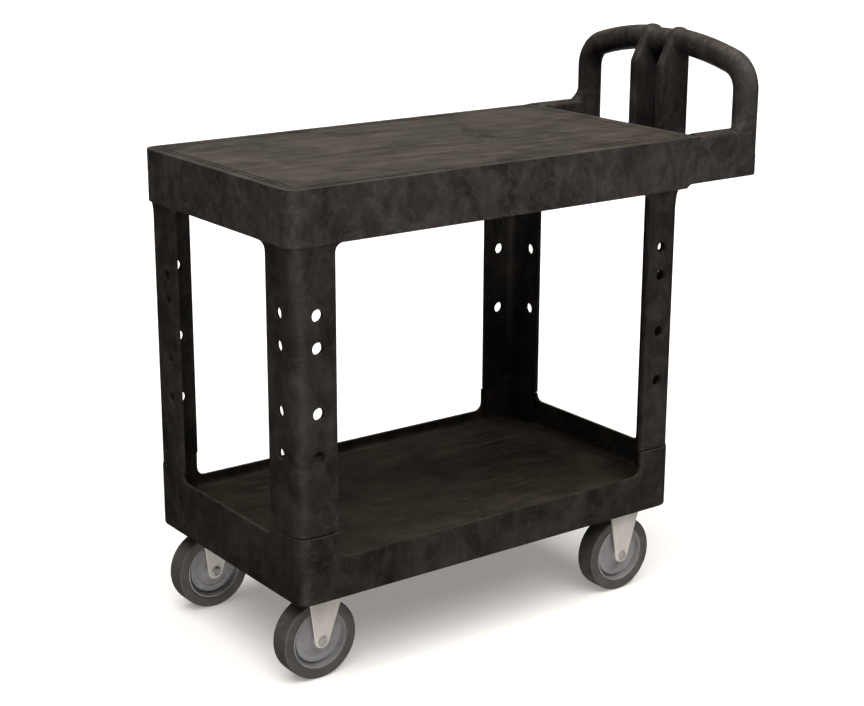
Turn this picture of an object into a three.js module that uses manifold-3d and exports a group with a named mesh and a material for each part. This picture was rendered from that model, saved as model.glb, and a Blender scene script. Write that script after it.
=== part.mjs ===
// A two-shelf food service trolley: a flat moulded deck with a push handle, a lipped lower tray,
// four angle-section legs, two fixed casters at the free end and two swivel casters at the handle end.
// Millimetres, +X towards the handle, +Z up, origin on the floor under the middle of the trolley.
import * as THREE from "three";
import { mergeVertices } from "three/addons/utils/BufferGeometryUtils.js";
import Module from "manifold-3d";

const wasm = await Module();
wasm.setup();

const GAP = 0.3; // between pieces that touch
const ROUND = 20; // facets round a whole circle on small round pieces
const ARC = 3; // half the facets of a quarter-round corner

// Upper shelf: a deck plate with a deep skirt, which runs on past the deck to carry the handle.
const DECK = {
  left: -456,
  right: 318,
  halfWidth: 214,
  top: 758,
  bottom: 677,
  plate: 6,
  wall: 6,
  corner: 24,
  skirtRight: 297,
};
const RIB = { thickness: 4, depth: 3, across: [-300, -144, 12, 168], along: [-110, 110] };
const BIN = {
  right: 456,
  bottom: 683,
  floor: 5,
  endTop: 716,
  corner: 14,
  wellCorner: 6,
  railTop: 761,
  railWidth: 30,
  railRound: 13,
};
// The handle: two uprights that bend into a shallow arch, and two fins across its middle.
const HANDLE = {
  tube: 21,
  topZ: 908,
  bendRadius: 46,
  crownRadius: 575,
  footZ: 705,
  straightTop: 790,
};
// Each fin stands up from the bin and wraps over the tube, a little proud of it.
const FIN = { inner: 24, outer: 41, left: 391, shoulder: 848, proud: 1 };

// Lower shelf: a tray with low sides, higher ends, a slightly raised floor panel and a post at each
// corner for the legs.
const TRAY = {
  left: -449.5,
  right: 281.5,
  halfWidth: 216,
  floorTop: 187,
  floor: 5,
  bottom: 141,
  sideTop: 205,
  endTop: 232,
  wall: 6,
  corner: 24,
  panelInset: 14,
  panelRise: 1,
  panelCorner: 10,
  ribShares: [-0.55, 0, 0.55], // of the half length, from the middle
};
const POST = { top: 245, sideFillet: 14, endFillet: 12 };
const PAD = { bottom: 157, length: 120, halfWidth: 34, holeDepth: 18 };

// Legs: moulded angles, open to the inside, with a tongue at each end inside the shelf's skirt.
const LEG = {
  left: -449,
  right: 281,
  halfWidth: 213,
  flangeX: 68,
  flangeY: 77.5,
  wall: 7,
  corner: 22,
  fillet: 13,
  tongue: 5.5,
  tongueTop: 735,
  tongueSetback: 12,
  upperOverlap: 40,
  lowerOverlap: 30,
  holeRadius: 9.5,
};
// How far each leg's end face flares out under the upper shelf, and over what height.
const FLARE = { left: { out: 6.5, height: 22 }, right: { out: 11.5, height: 34 } };
// Accessory holes: for each flange, how far they stand from the leg's outer corner, and their heights.
const LEG_HOLES = {
  left_front: { side: { at: 37, z: [577, 529, 432, 367] }, end: { at: 46, z: [577, 529, 432, 367] } },
  left_back: { side: { at: 42, z: [565, 449, 346] }, end: { at: 52, z: [566, 527, 432, 367] } },
  right_front: { side: { at: 38, z: [587, 541, 447, 364] }, end: { at: 46, z: [579, 541, 447, 364] } },
  right_back: { side: { at: 37, z: [505, 396] }, end: { at: 54, z: [509, 400] } },
};

// Casters.
const WHEEL = { radius: 63.5, halfWidth: 17.5, seat: 47, bossHalf: 18.8, bore: 7.4, facets: 36 };
const PLATE = { halfLength: 54, halfWidth: 30, thickness: 3, corner: 6, holeX: 44.5, holeY: 22, hole: 4.4 };
const FORK = { inner: 19.5, thickness: 2.5, endRadius: 12.5, crown: 29, crownThickness: 3.2 };
const FORK_NECK = { inset: 2, drop: 14, lean: 0.16 };
const FORK_SPREAD = { rigid: { left: -24, right: 47 }, swivel: { left: -26, right: 36 } };
const SLEEVE = { outer: 6.6, inner: 4.3 };
const BOLT = { shank: 3.9, acrossFlats: 13, head: 5.2, length: 18 };
const AXLE = { shank: 4, acrossFlats: 13, head: 5.5, nut: 6.5, thread: 4 };
// Each caster's plate, and how far its axle stands behind the middle of that plate.
const RIGID = { x: -380, y: 160, trail: 12 };
const SWIVEL = { x: 207, y: 176, trail: 14 };
const PLATE_TOP = PAD.bottom - GAP;
const PLATE_BOTTOM = PLATE_TOP - PLATE.thickness;
const RACE = { outer: 30, ballOuter: 25, ballInner: 16, bottom: 147, height: 5.4 };
const KINGPIN = { shank: 6, head: 10, headHeight: 1.6, nut: 11, nutHeight: 4 };
const CROWN_TOP = RACE.bottom - RACE.height - 2 * GAP;
const CROWN_BOTTOM = CROWN_TOP - FORK.crownThickness;

const MATERIAL = {
  shelf: new THREE.MeshStandardMaterial({ color: 0x2b2826, roughness: 0.62, metalness: 0 }),
  tyre: new THREE.MeshStandardMaterial({ color: 0x35322f, roughness: 0.8, metalness: 0 }),
  hub: new THREE.MeshStandardMaterial({ color: 0x6a6b6c, roughness: 0.5, metalness: 0 }),
  zinc: new THREE.MeshStandardMaterial({ color: 0xc9c4bc, roughness: 0.35, metalness: 0.9 }),
  bolt: new THREE.MeshStandardMaterial({ color: 0xb8b4ac, roughness: 0.3, metalness: 0.9 }),
};

const X = new THREE.Vector3(1, 0, 0);
const Y = new THREE.Vector3(0, 1, 0);
const Z = new THREE.Vector3(0, 0, 1);
const SHAPE_ON_XZ = new THREE.Matrix4().makeBasis(X, Z, Y.clone().negate());
const SHAPE_ON_YZ = new THREE.Matrix4().makeBasis(Y, Z, X);

const trolley = new THREE.Group();

// --- Solids ---------------------------------------------------------------------------------

function solid(geometry) {
  const bare = geometry.clone();
  bare.deleteAttribute("normal");
  bare.deleteAttribute("uv");
  const merged = mergeVertices(bare, 1e-4);
  return new wasm.Manifold(
    new wasm.Mesh({
      numProp: 3,
      vertProperties: merged.attributes.position.array,
      triVerts: new Uint32Array(merged.index.array),
    }),
  );
}

function join(...pieces) {
  return pieces.flat().reduce((whole, piece) => whole.add(piece));
}

function cut(whole, ...tools) {
  return tools.flat().reduce((rest, tool) => rest.subtract(tool), whole);
}

function add(name, body, material) {
  const mesh = body.getMesh();
  const geometry = new THREE.BufferGeometry();
  geometry.setAttribute("position", new THREE.BufferAttribute(mesh.vertProperties, 3));
  geometry.setIndex(new THREE.BufferAttribute(mesh.triVerts, 1));
  const flat = geometry.toNonIndexed();
  flat.computeVertexNormals();
  const piece = new THREE.Mesh(flat, material);
  piece.name = name;
  trolley.add(piece);
}

function extrude(shape, depth) {
  return new THREE.ExtrudeGeometry(shape, { depth, bevelEnabled: false, curveSegments: ARC });
}

function upright(shape, z0, z1) {
  return solid(extrude(shape, z1 - z0).translate(0, 0, z0));
}

// A shape drawn with x across and z up, from y0 to y1.
function alongY(shape, y0, y1) {
  return solid(extrude(shape, y1 - y0).applyMatrix4(SHAPE_ON_XZ).translate(0, y1, 0));
}

// A shape drawn with y across and z up, from x0 to x1.
function alongX(shape, x0, x1) {
  return solid(extrude(shape, x1 - x0).applyMatrix4(SHAPE_ON_YZ).translate(x0, 0, 0));
}

function box(x0, x1, y0, y1, z0, z1) {
  const geometry = new THREE.BoxGeometry(x1 - x0, y1 - y0, z1 - z0);
  return solid(geometry.translate((x0 + x1) / 2, (y0 + y1) / 2, (z0 + z1) / 2));
}

function cylinder(radius, z0, z1, x = 0, y = 0, facets = ROUND) {
  const geometry = new THREE.CylinderGeometry(radius, radius, z1 - z0, facets);
  return solid(geometry.rotateX(Math.PI / 2).translate(x, y, (z0 + z1) / 2));
}

function cylinderAlongY(radius, y0, y1, x = 0, z = 0, facets = ROUND) {
  const geometry = new THREE.CylinderGeometry(radius, radius, y1 - y0, facets);
  return solid(geometry.translate(x, (y0 + y1) / 2, z));
}

function cylinderAlongX(radius, x0, x1, y, z, facets = ROUND) {
  const geometry = new THREE.CylinderGeometry(radius, radius, x1 - x0, facets);
  return solid(geometry.rotateZ(Math.PI / 2).translate((x0 + x1) / 2, y, z));
}

function hexRadius(acrossFlats) {
  return acrossFlats / Math.sqrt(3);
}

// A rectangle with one corner radius, or with one each: low-low, high-low, high-high, low-high.
function roundedRect(u0, u1, v0, v1, radii) {
  const [a, b, c, d] = Array.isArray(radii) ? radii : [radii, radii, radii, radii];
  const shape = new THREE.Shape();
  shape.moveTo(u0 + a, v0);
  shape.lineTo(u1 - b, v0);
  if (b) shape.absarc(u1 - b, v0 + b, b, -Math.PI / 2, 0);
  shape.lineTo(u1, v1 - c);
  if (c) shape.absarc(u1 - c, v1 - c, c, 0, Math.PI / 2);
  shape.lineTo(u0 + d, v1);
  if (d) shape.absarc(u0 + d, v1 - d, d, Math.PI / 2, Math.PI);
  shape.lineTo(u0, v0 + a);
  if (a) shape.absarc(u0 + a, v0 + a, a, Math.PI, 1.5 * Math.PI);
  return shape;
}

// --- Upper shelf ------------------------------------------------------------------------------

function handleTube() {
  const { tube, bendRadius, crownRadius } = HANDLE;
  const side = DECK.halfWidth - tube;
  const x = BIN.right - tube;
  const crownZ = HANDLE.topZ - tube;
  const bendY = side - bendRadius;
  const turn = Math.acos(bendY / (crownRadius - bendRadius));
  const bendZ = crownZ - crownRadius + (crownRadius - bendRadius) * Math.sin(turn);
  const half = [];
  for (const z of [HANDLE.footZ, BIN.railTop, HANDLE.straightTop]) half.push([side, z]);
  const bendSteps = 5;
  for (let step = 0; step <= bendSteps; step++) {
    const angle = (turn * step) / bendSteps;
    half.push([bendY + bendRadius * Math.cos(angle), bendZ + bendRadius * Math.sin(angle)]);
  }
  const crownSteps = 4;
  for (let step = 1; step <= crownSteps; step++) {
    const angle = turn + ((Math.PI / 2 - turn) * step) / crownSteps;
    half.push([crownRadius * Math.cos(angle), crownZ - crownRadius * (1 - Math.sin(angle))]);
  }
  const path = half.concat(half.slice(0, -1).reverse().map(([y, z]) => [-y, z]));
  const curve = new THREE.CatmullRomCurve3(path.map(([y, z]) => new THREE.Vector3(x, y, z)));
  const section = new THREE.Shape().absarc(0, 0, tube, 0, 2 * Math.PI);
  return solid(
    new THREE.ExtrudeGeometry(section, { extrudePath: curve, steps: 44, curveSegments: 8 }),
  );
}

// One fin: upright towards the deck, then sloping up to meet the arc it wraps over the tube.
function handleFin(side) {
  const radius = HANDLE.tube + FIN.proud;
  const x = BIN.right - HANDLE.tube;
  const z = HANDLE.topZ - HANDLE.tube;
  const run = Math.hypot(x - FIN.left, z - FIN.shoulder);
  const slope = Math.atan2(z - FIN.shoulder, x - FIN.left) + Math.asin(radius / run);
  const outline = new THREE.Shape();
  outline.moveTo(FIN.left, BIN.bottom + 1);
  outline.lineTo(x + HANDLE.tube - 1, BIN.bottom + 1);
  outline.lineTo(x + HANDLE.tube - 1, z);
  outline.lineTo(x + radius * Math.cos(Math.PI / 4), z + radius * Math.sin(Math.PI / 4));
  outline.absarc(x, z, radius, Math.PI / 4, slope + Math.PI / 2);
  outline.lineTo(FIN.left, FIN.shoulder);
  const y0 = side > 0 ? FIN.inner : -FIN.outer;
  return alongY(outline, y0, y0 + FIN.outer - FIN.inner);
}

function deckRibs() {
  const z0 = DECK.top - DECK.plate - RIB.depth;
  const z1 = DECK.top - DECK.plate + 1;
  const half = RIB.thickness / 2;
  const reach = DECK.halfWidth - 1;
  const across = RIB.across.map((x) => box(x - half, x + half, -reach, reach, z0, z1));
  const along = RIB.along.map((y) => box(DECK.left + 1, DECK.right, y - half, y + half, z0, z1));
  return [...across, ...along];
}

function upperShelf() {
  const inner = DECK.halfWidth - DECK.wall;
  const round = [DECK.corner, 2, 2, DECK.corner];
  const plan = roundedRect(DECK.left, DECK.right, -DECK.halfWidth, DECK.halfWidth, round);
  const lower = roundedRect(DECK.left, DECK.skirtRight, -DECK.halfWidth, DECK.halfWidth, round);
  const innerRound = DECK.corner - DECK.wall;
  const hollowEnds = [DECK.left + DECK.wall, DECK.right - DECK.wall];
  const hollow = roundedRect(...hollowEnds, -inner, inner, innerRound);
  const deck = cut(
    join(upright(plan, BIN.bottom, DECK.top), upright(lower, DECK.bottom, BIN.bottom + 1)),
    upright(hollow, DECK.bottom - 1, DECK.top - DECK.plate),
  );

  const binLeft = DECK.right - 10;
  const round2 = [2, BIN.corner, BIN.corner, 2];
  const binPlan = roundedRect(binLeft, BIN.right, -DECK.halfWidth, DECK.halfWidth, round2);
  const well = DECK.halfWidth - BIN.railWidth;
  const wellPlan = roundedRect(DECK.right, BIN.right - DECK.wall, -well, well, BIN.wellCorner);
  const railCorners = [0, 0, BIN.railRound, BIN.railRound];
  const railEnd = roundedRect(-DECK.halfWidth, -well, BIN.bottom, BIN.railTop, railCorners);
  const rail = alongX(railEnd, binLeft, BIN.right - HANDLE.tube);
  const otherRail = rail.mirror([0, 1, 0]);
  const bin = join(upright(binPlan, BIN.bottom, BIN.endTop), rail, otherRail);
  const wellCut = upright(wellPlan, BIN.bottom + BIN.floor, BIN.railTop + 10);
  return join(cut(bin, wellCut), deck, deckRibs(), handleTube(), handleFin(-1), handleFin(1));
}

// --- Lower shelf ------------------------------------------------------------------------------

function casterPlaces() {
  const places = [];
  for (const [end, at] of [["left", RIGID], ["right", SWIVEL]]) {
    for (const [side, sign] of [["front", -1], ["back", 1]]) {
      places.push({ name: `${end}_${side}`, end, x: at.x, y: sign * at.y, trail: at.trail });
    }
  }
  return places;
}

function lowerShelf() {
  const { left, right, halfWidth, wall, corner } = TRAY;
  const inner = halfWidth - wall;
  const outline = roundedRect(left, right, -halfWidth, halfWidth, corner);
  const inside = roundedRect(left + wall, right - wall, -inner, inner, corner - wall);
  const midX = (left + right) / 2;
  const half = (right - left) / 2;
  const sideWindow = roundedRect(
    left + LEG.flangeX,
    right - LEG.flangeX,
    TRAY.sideTop,
    POST.top + 60,
    POST.sideFillet,
  );
  const endReach = LEG.halfWidth - LEG.flangeY;
  const endWindow = roundedRect(-endReach, endReach, TRAY.endTop, POST.top + 60, POST.endFillet);
  const shell = cut(
    upright(outline, TRAY.bottom, POST.top),
    upright(inside, TRAY.floorTop - TRAY.panelRise, POST.top + 1),
    upright(inside, TRAY.bottom - 1, TRAY.floorTop - TRAY.floor),
    alongY(sideWindow, -halfWidth - 1, halfWidth + 1),
    alongX(endWindow, left - 1, right + 1),
  );

  const inset = wall + TRAY.panelInset;
  const panelPlan = roundedRect(
    left + inset,
    right - inset,
    inset - halfWidth,
    halfWidth - inset,
    TRAY.panelCorner,
  );
  const panel = upright(panelPlan, TRAY.floorTop - TRAY.panelRise - 1, TRAY.floorTop);

  const ribTop = TRAY.floorTop - TRAY.floor + 1;
  const ribBottom = ribTop - RIB.depth;
  const ribHalf = RIB.thickness / 2;
  const ribs = TRAY.ribShares.map((share) => {
    const x = midX + share * half;
    return box(x - ribHalf, x + ribHalf, -inner - 1, inner + 1, ribBottom, ribTop);
  });
  ribs.push(box(left + 1, right - 1, -ribHalf, ribHalf, ribBottom, ribTop));

  const pads = casterPlaces().map(({ x, y }) => {
    const reach = PAD.length / 2;
    return box(x - reach, x + reach, y - PAD.halfWidth, y + PAD.halfWidth, PAD.bottom, ribTop);
  });
  const holeTop = PAD.bottom + PAD.holeDepth;
  const holes = casterPlaces().flatMap(({ x, y }) =>
    plateHoles().map(([dx, dy]) =>
      cylinder(BOLT.shank + 2 * GAP, PAD.bottom - 1, holeTop, x + dx, y + dy, 8),
    ),
  );
  return cut(join(shell, panel, ribs, pads), holes);
}

// --- Legs -------------------------------------------------------------------------------------

// An angle with its outer corner rounded, its flanges running towards +x and +y.
function angle(x0, y0, lengthX, lengthY, wall, corner) {
  const shape = new THREE.Shape();
  shape.moveTo(x0 + corner, y0);
  shape.lineTo(x0 + lengthX, y0);
  shape.lineTo(x0 + lengthX, y0 + wall);
  shape.lineTo(x0 + corner, y0 + wall);
  shape.absarc(x0 + corner, y0 + corner, corner - wall, 1.5 * Math.PI, Math.PI, true);
  shape.lineTo(x0 + wall, y0 + lengthY);
  shape.lineTo(x0, y0 + lengthY);
  shape.lineTo(x0, y0 + corner);
  shape.absarc(x0 + corner, y0 + corner, corner, Math.PI, 1.5 * Math.PI);
  return shape;
}

// The quarter-round web between a flange's free edge and the underside of the upper shelf.
function topFillet(edge, top) {
  const r = LEG.fillet;
  const shape = new THREE.Shape();
  shape.moveTo(edge - 1, top - r);
  shape.lineTo(edge, top - r);
  shape.absarc(edge + r, top - r, r, Math.PI, Math.PI / 2, true);
  shape.lineTo(edge - 1, top);
  return shape;
}

// One leg in its own frame: the outer corner stands at the origin, z is the trolley's height.
function leg(holes, flare) {
  const bottom = POST.top + GAP;
  const top = DECK.bottom - GAP;
  const { flangeX, flangeY, wall, corner, tongue } = LEG;
  const body = upright(angle(0, 0, flangeX, flangeY, wall, corner), bottom, top);

  const flareSide = new THREE.Shape();
  flareSide.moveTo(0.5, top - flare.height);
  flareSide.lineTo(0.5, top);
  flareSide.lineTo(-flare.out, top);
  flareSide.quadraticCurveTo(-flare.out / 6, top - flare.height * 0.35, 0, top - flare.height);
  const capital = alongY(flareSide, corner, flangeY);

  const sideWeb = alongY(topFillet(flangeX, top), 0, wall);
  const endWeb = alongX(topFillet(flangeY, top), 0, wall);

  const insideRound = TRAY.corner - TRAY.wall;
  const deckInset = LEG.halfWidth - (DECK.halfWidth - DECK.wall) + GAP;
  const trayInsetX = TRAY.left + TRAY.wall + GAP - LEG.left;
  const trayInsetY = LEG.halfWidth - (TRAY.halfWidth - TRAY.wall) + GAP;
  const tongueX = flangeX - LEG.tongueSetback;
  const tongueY = flangeY - LEG.tongueSetback;
  const upperTongue = upright(
    angle(1, deckInset, tongueX, tongueY, tongue, insideRound),
    top - LEG.upperOverlap,
    LEG.tongueTop,
  );
  const lowerTongue = upright(
    angle(trayInsetX, trayInsetY, tongueX, tongueY, tongue, insideRound),
    TRAY.floorTop + GAP,
    bottom + LEG.lowerOverlap,
  );
  const r = LEG.holeRadius;
  const reach = wall + 8;
  const bores = [
    ...holes.side.z.map((z) => cylinderAlongY(r, -1, reach, holes.side.at, z, 16)),
    ...holes.end.z.map((z) => cylinderAlongX(r, -1, reach, holes.end.at, z, 16)),
  ];
  return cut(join(body, capital, sideWeb, endWeb, upperTongue, lowerTongue), bores);
}

function addLegs() {
  for (const [name, holes] of Object.entries(LEG_HOLES)) {
    const atLeft = name.startsWith("left");
    const atFront = name.endsWith("front");
    let piece = leg(holes, atLeft ? FLARE.left : FLARE.right);
    if (!atLeft) piece = piece.mirror([1, 0, 0]);
    if (!atFront) piece = piece.mirror([0, 1, 0]);
    const corner = [atLeft ? LEG.left : LEG.right, atFront ? -LEG.halfWidth : LEG.halfWidth, 0];
    add(`leg_${name}`, piece.translate(corner), MATERIAL.shelf);
  }
}

// --- Casters ----------------------------------------------------------------------------------

function plateHoles() {
  return [-1, 1].flatMap((i) => [-1, 1].map((j) => [i * PLATE.holeX, j * PLATE.holeY]));
}

// A turned ring or wheel about the y axis, from (radius, y) points of a closed profile.
function turned(profile, facets) {
  const points = profile.map(([radius, y]) => new THREE.Vector2(radius, y));
  points.push(points[0].clone());
  return solid(new THREE.LatheGeometry(points, facets));
}

function tyre() {
  const { radius, halfWidth, seat, facets } = WHEEL;
  const shoulder = 3;
  return turned(
    [
      [seat, -halfWidth + 1],
      [radius - shoulder, -halfWidth],
      [radius, -halfWidth + shoulder],
      [radius, halfWidth - shoulder],
      [radius - shoulder, halfWidth],
      [seat, halfWidth - 1],
    ],
    facets,
  );
}

function hub() {
  const rim = WHEEL.seat - GAP;
  const rimHalf = WHEEL.halfWidth - 1.5;
  const web = 10;
  const boss = 15;
  return turned(
    [
      [WHEEL.bore, -WHEEL.bossHalf],
      [boss, -WHEEL.bossHalf],
      [boss + 3, -web],
      [rim - 8, -web],
      [rim - 5, -rimHalf],
      [rim, -rimHalf],
      [rim, rimHalf],
      [rim - 5, rimHalf],
      [rim - 8, web],
      [boss + 3, web],
      [boss, WHEEL.bossHalf],
      [WHEEL.bore, WHEEL.bossHalf],
    ],
    28,
  );
}

// A fork's side seen along the axle: wide at the top, narrowing to a round end about the axle.
function forkSide(topLeft, topRight, topZ) {
  const { endRadius } = FORK;
  const { inset, drop, lean } = FORK_NECK;
  const shape = new THREE.Shape();
  shape.moveTo(topLeft, topZ);
  shape.lineTo(topLeft + inset, topZ - drop);
  shape.absarc(0, 0, endRadius, Math.PI + lean, 2 * Math.PI - lean);
  shape.lineTo(topRight - inset, topZ - drop);
  shape.lineTo(topRight, topZ);
  return shape;
}

function forkSides(topLeft, topRight, topZ) {
  const side = forkSide(topLeft, topRight, topZ - WHEEL.radius);
  return [
    alongY(side, -FORK.inner - FORK.thickness, -FORK.inner),
    alongY(side, FORK.inner, FORK.inner + FORK.thickness),
  ].map((piece) => piece.translate([0, 0, WHEEL.radius]));
}

function axleHole() {
  return cylinderAlongY(AXLE.shank + GAP, -FORK.inner - 5, FORK.inner + 5, 0, WHEEL.radius);
}

function mountingPlate() {
  const { halfLength, halfWidth, corner, hole } = PLATE;
  const outline = roundedRect(-halfLength, halfLength, -halfWidth, halfWidth, corner);
  const blank = upright(outline, PLATE_BOTTOM, PLATE_TOP);
  const holes = plateHoles().map(([x, y]) =>
    cylinder(hole, PLATE_BOTTOM - 1, PLATE_TOP + 1, x, y, 12),
  );
  return cut(blank, holes);
}

function rigidBracket() {
  const { left, right } = FORK_SPREAD.rigid;
  const plate = mountingPlate().translate([RIGID.trail, 0, 0]);
  return cut(join(plate, forkSides(left, right, PLATE_TOP - 1)), axleHole());
}

function swivelFork() {
  const { left, right } = FORK_SPREAD.swivel;
  const top = cylinder(FORK.crown, CROWN_BOTTOM, CROWN_TOP, SWIVEL.trail, 0, 28);
  const sides = forkSides(left, right, CROWN_TOP);
  const across = FORK.inner + 1;
  const bridge = box(left + 1, right - 1, -across, across, CROWN_BOTTOM, CROWN_TOP);
  const pinHole = cylinder(KINGPIN.shank + 0.5, CROWN_BOTTOM - 1, CROWN_TOP + 1, SWIVEL.trail, 0);
  return cut(join(top, bridge, sides), pinHole, axleHole());
}

function swivelPlate() {
  const race = cylinder(RACE.outer, RACE.bottom, PLATE_BOTTOM + 1, 0, 0, 32);
  const pinHole = cylinder(KINGPIN.shank + GAP, RACE.bottom - 1, PLATE_TOP + 1);
  const recess = cylinder(KINGPIN.head + GAP, PLATE_TOP - KINGPIN.headHeight - GAP, PLATE_TOP + 1);
  return cut(join(mountingPlate(), race), pinHole, recess);
}

function ballRace() {
  const z0 = RACE.bottom - GAP - RACE.height;
  const ring = cylinder(RACE.ballOuter, z0, z0 + RACE.height, 0, 0, 32);
  return cut(ring, cylinder(RACE.ballInner, z0 - 1, z0 + RACE.height + 1));
}

function kingpin() {
  const nutTop = CROWN_BOTTOM - GAP;
  return join(
    cylinder(KINGPIN.shank, nutTop - 1, PLATE_TOP),
    cylinder(KINGPIN.head, PLATE_TOP - KINGPIN.headHeight, PLATE_TOP),
    cylinder(KINGPIN.nut, nutTop - KINGPIN.nutHeight, nutTop),
  );
}

function axleSleeve() {
  const reach = FORK.inner - GAP;
  const bore = cylinderAlongY(SLEEVE.inner, -reach - 1, reach + 1, 0, WHEEL.radius);
  return cut(cylinderAlongY(SLEEVE.outer, -reach, reach, 0, WHEEL.radius), bore);
}

function axleBolt() {
  const face = FORK.inner + FORK.thickness + GAP;
  const tail = face + AXLE.nut + AXLE.thread;
  return join(
    cylinderAlongY(AXLE.shank, -face - 1, tail, 0, WHEEL.radius, 16),
    cylinderAlongY(hexRadius(AXLE.acrossFlats), -face - AXLE.head, -face, 0, WHEEL.radius, 6),
  );
}

function axleNut() {
  const face = FORK.inner + FORK.thickness + GAP;
  const far = face + AXLE.nut;
  const blank = cylinderAlongY(hexRadius(AXLE.acrossFlats), face, far, 0, WHEEL.radius, 6);
  return cut(blank, cylinderAlongY(AXLE.shank + GAP, face - 1, far + 1, 0, WHEEL.radius, 16));
}

function plateBolt() {
  const under = PLATE_BOTTOM - GAP;
  return join(
    cylinder(hexRadius(BOLT.acrossFlats), under - BOLT.head, under, 0, 0, 6),
    cylinder(BOLT.shank, under - 1, under + BOLT.length, 0, 0, 12),
  );
}

function addWheel(name, x, y) {
  const place = [x, y, 0];
  const centre = [x, y, WHEEL.radius];
  add(`tyre_${name}`, tyre().translate(centre), MATERIAL.tyre);
  add(`hub_${name}`, hub().translate(centre), MATERIAL.hub);
  add(`axle_sleeve_${name}`, axleSleeve().translate(place), MATERIAL.bolt);
  add(`axle_bolt_${name}`, axleBolt().translate(place), MATERIAL.bolt);
  add(`axle_nut_${name}`, axleNut().translate(place), MATERIAL.bolt);
}

function addCasters() {
  for (const { name, end, x, y, trail } of casterPlaces()) {
    const place = [x, y, 0];
    const axlePlace = [x - trail, y, 0];
    if (end === "left") {
      add(`rigid_bracket_${name}`, rigidBracket().translate(axlePlace), MATERIAL.zinc);
    } else {
      add(`swivel_plate_${name}`, swivelPlate().translate(place), MATERIAL.zinc);
      add(`ball_race_${name}`, ballRace().translate(place), MATERIAL.bolt);
      add(`kingpin_${name}`, kingpin().translate(place), MATERIAL.bolt);
      add(`swivel_fork_${name}`, swivelFork().translate(axlePlace), MATERIAL.zinc);
    }
    addWheel(name, x - trail, y);
    plateHoles().forEach(([dx, dy], i) => {
      add(`plate_bolt_${name}_${i + 1}`, plateBolt().translate([x + dx, y + dy, 0]), MATERIAL.bolt);
    });
  }
}

add("upper_shelf", upperShelf(), MATERIAL.shelf);
add("lower_shelf", lowerShelf(), MATERIAL.shelf);
addLegs();
addCasters();

export default trolley;
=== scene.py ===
"""A two-shelf food service trolley: what it looks like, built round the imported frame.

The shelves, legs and casters are remodelled here with their mould radii, grooves and pressed edges,
each in the place of its CAD node. Lengths named in millimetres are turned to metres by mm().
"""

import math

import bmesh
import bpy
from mathutils import Matrix, Quaternion, Vector


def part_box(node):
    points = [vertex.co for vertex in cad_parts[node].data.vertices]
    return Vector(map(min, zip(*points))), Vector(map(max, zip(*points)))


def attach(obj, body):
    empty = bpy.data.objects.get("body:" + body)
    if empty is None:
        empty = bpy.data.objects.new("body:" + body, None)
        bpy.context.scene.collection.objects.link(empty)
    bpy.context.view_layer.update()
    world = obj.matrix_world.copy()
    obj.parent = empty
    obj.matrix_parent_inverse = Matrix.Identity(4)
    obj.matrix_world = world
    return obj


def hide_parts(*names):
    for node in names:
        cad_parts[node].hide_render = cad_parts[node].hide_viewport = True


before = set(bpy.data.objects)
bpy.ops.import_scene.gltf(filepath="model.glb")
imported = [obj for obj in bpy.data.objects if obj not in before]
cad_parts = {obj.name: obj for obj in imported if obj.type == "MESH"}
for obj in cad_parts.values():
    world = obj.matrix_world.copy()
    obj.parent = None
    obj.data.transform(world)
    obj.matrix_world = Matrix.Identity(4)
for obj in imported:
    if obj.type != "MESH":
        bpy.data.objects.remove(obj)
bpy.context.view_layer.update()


def mm(value):
    return value / 1000.0


# ---------------------------------------------------------------------------------------------
# Driving dimensions, in millimetres, in the frame's axes: +X to the handle, +Z up
# ---------------------------------------------------------------------------------------------


def box_mm(node):
    low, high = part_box(node)
    return [v * 1000 for v in low], [v * 1000 for v in high]


UPPER_LOW, UPPER_HIGH = box_mm("upper_shelf")
LOWER_LOW, LOWER_HIGH = box_mm("lower_shelf")

DECK_LEFT = UPPER_LOW[0]
DECK_RIGHT = 318.0
DECK_HALF = 214.0
DECK_TOP = 758.0
DECK_PLATE = 6.0
SKIRT_BOTTOM = UPPER_LOW[2]
SKIRT_RIGHT = 289.0  # from here its lower edge curves up to the bin's
WALL = 6.0
CORNER = 24.0
GROOVE_INSETS = (13.0, 21.5)
GROOVE_WIDTH = 2.6
GROOVE_DEPTH = 1.3
RIM_ROUND = 3.0
RIB_DEPTH = 3.0
RIB_HALF = 2.0
DECK_RIBS_ACROSS = (-300, -144, 12, 168)
DECK_RIBS_ALONG = (-110, 110)

BIN_BOTTOM = 683.0
BIN_FLOOR = 688.0
BIN_END_TOP = 716.0
BIN_RIGHT = UPPER_HIGH[0]
BIN_CORNER = 20.0
RAIL_TOP = 761.0
RAIL_WIDTH = 30.0
RAIL_ROUND = 9.0
RAIL_NARROW = 12.0  # its width beside the deck, clear of the grooves
RAIL_START = 284.0
RAIL_FULL = 330.0

TUBE = 20.9
HANDLE_TOP = UPPER_HIGH[2] - 1.0
WAIST = 17.4  # how far the tube's top stands above its path between the fins
BELLY = 26.5  # how far its underside hangs below its path there
HANDLE_X = BIN_RIGHT - TUBE - 0.1
HANDLE_Y = DECK_HALF - TUBE - 0.1
BEND_RADIUS = 46.0
ARCH_RADIUS = 575.0
FIN_INNER = 24.0
FIN_OUTER = 41.0
FIN_LEFT = 391.0
FIN_SHOULDER = 848.0
FIN_PROUD = 1.0
FIN_EDGE_ROUND = 4.5

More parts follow.
